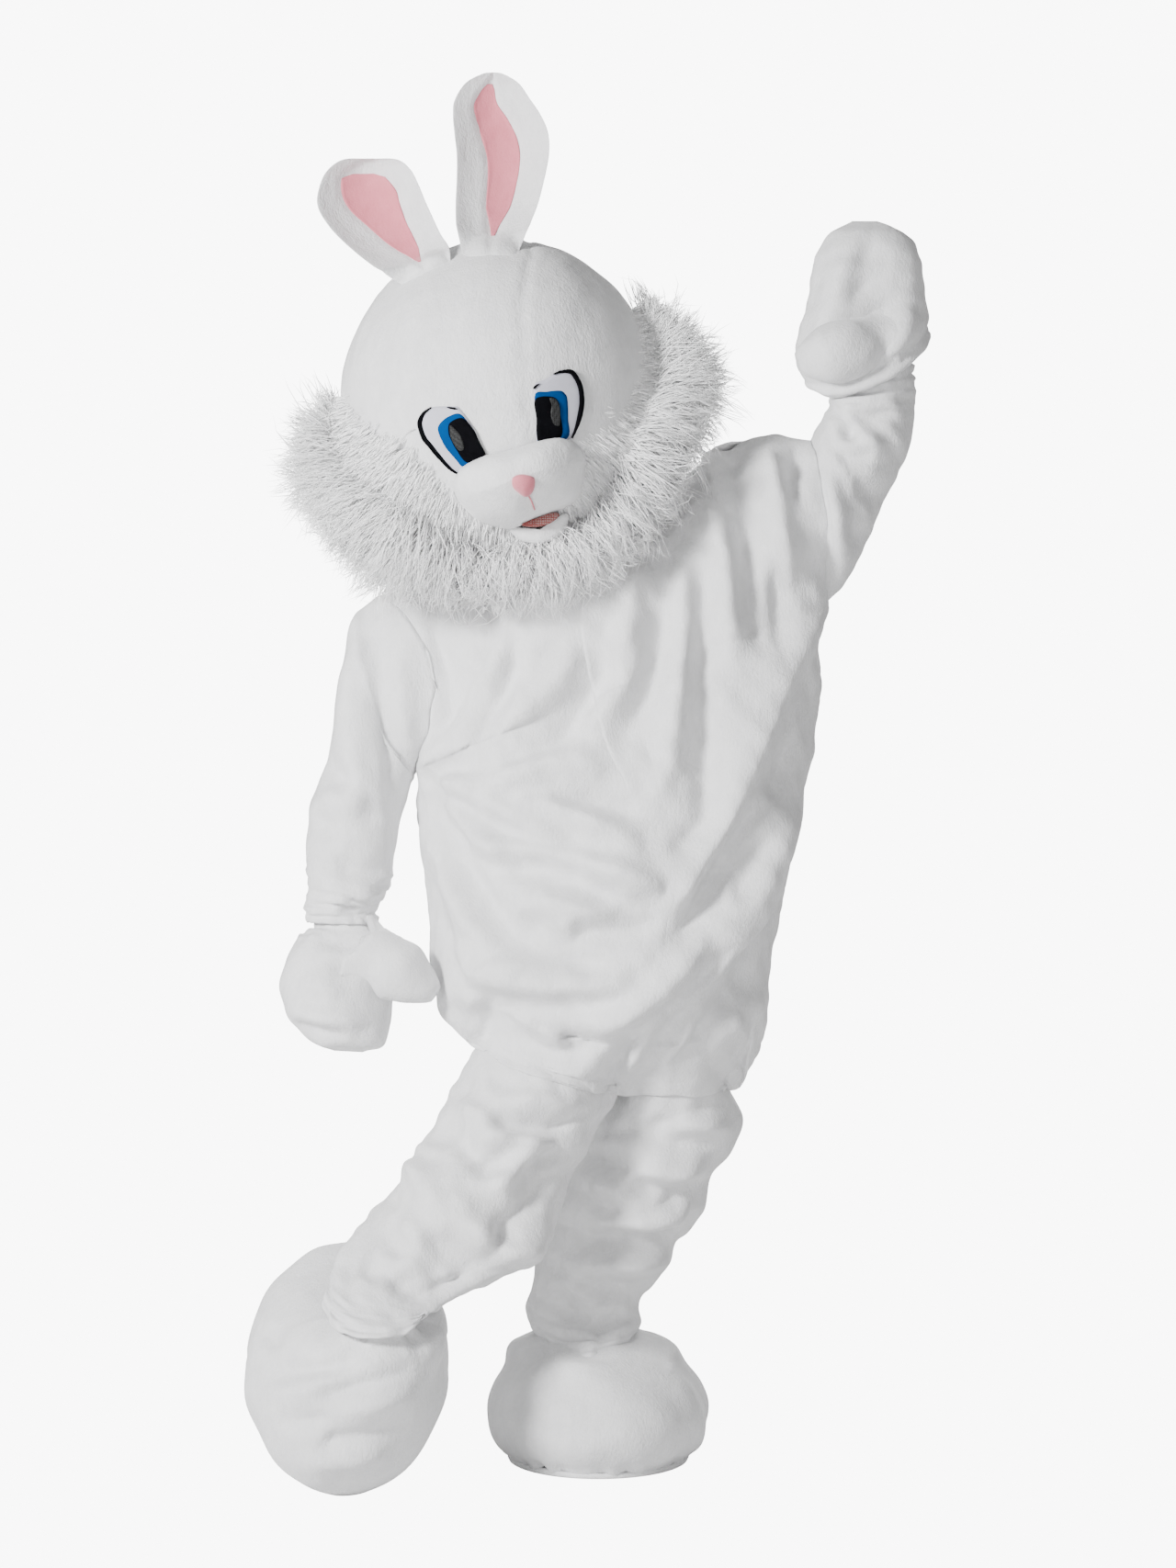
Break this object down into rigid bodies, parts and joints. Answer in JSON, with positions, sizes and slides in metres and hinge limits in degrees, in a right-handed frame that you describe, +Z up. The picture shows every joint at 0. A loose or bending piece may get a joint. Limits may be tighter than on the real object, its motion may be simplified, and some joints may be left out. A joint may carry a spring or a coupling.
{
  "type": "rabbit mascot costume",
  "caption": "Worn full-body rabbit costume in white plush: ball head with a mane-like ruff, loose body bag, trousers, mittens and padded foot covers, posed as worn, hollow, no wearer.",
  "frame": {"origin": "middle of the neck's base, where the wearer's shoulders hold the costume up", "axes": "+Z up, -Y the way the wearer faces, +X the wearer's left, where the arm is raised"},
  "size_m": [0.8965, 0.4999, 1.8105],
  "materials": {
    "white_plush": "short soft pile",
    "long_pile": "long shaggy pile",
    "pink_plush": "short soft pile",
    "white_felt": "felt",
    "blue_felt": "felt",
    "black_felt": "felt",
    "dark_mesh": "fine mesh",
    "red_mesh": "fine mesh"
  },
  "bodies": {
    "root": {"body_front_left": "white_plush", "body_front_right": "white_plush", "body_back_left": "white_plush", "body_back_right": "white_plush", "front_placket": "white_plush", "collar": "white_plush", "sleeve_left_front": "white_plush", "sleeve_left_back": "white_plush", "sleeve_right_front": "white_plush", "sleeve_right_back": "white_plush", "leg_left_front": "white_plush", "leg_left_back": "white_plush", "leg_right_front": "white_plush", "leg_right_back": "white_plush", "mitten_left_front": "white_plush", "mitten_left_back": "white_plush", "mitten_left_thumb": "white_plush", "mitten_right_front": "white_plush", "mitten_right_back": "white_plush", "mitten_right_thumb": "white_plush", "foot_left_vamp": "white_plush", "foot_left_heel": "white_plush", "foot_left_sole": "white_plush", "foot_right_vamp": "white_plush", "foot_right_heel": "white_plush", "foot_right_sole": "white_plush", "head_gusset_front": "white_plush", "head_gusset_back": "white_plush", "head_side_left": "white_plush", "head_side_right": "white_plush", "muzzle": "white_plush", "lower_lip": "white_plush", "ear_left": "white_plush", "ear_right": "white_plush", "ruff_left": "long_pile", "ruff_chin": "long_pile", "ruff_right": "long_pile", "nose": "pink_plush", "ear_left_lining": "pink_plush", "ear_right_lining": "pink_plush", "eye_left_edge": "black_felt", "eye_left_white": "white_felt", "eye_left_iris": "blue_felt", "eye_left_pupil": "dark_mesh", "eye_right_edge": "black_felt", "eye_right_white": "white_felt", "eye_right_iris": "blue_felt", "eye_right_pupil": "dark_mesh", "mouth": "red_mesh"}
  },
  "joints": []
}
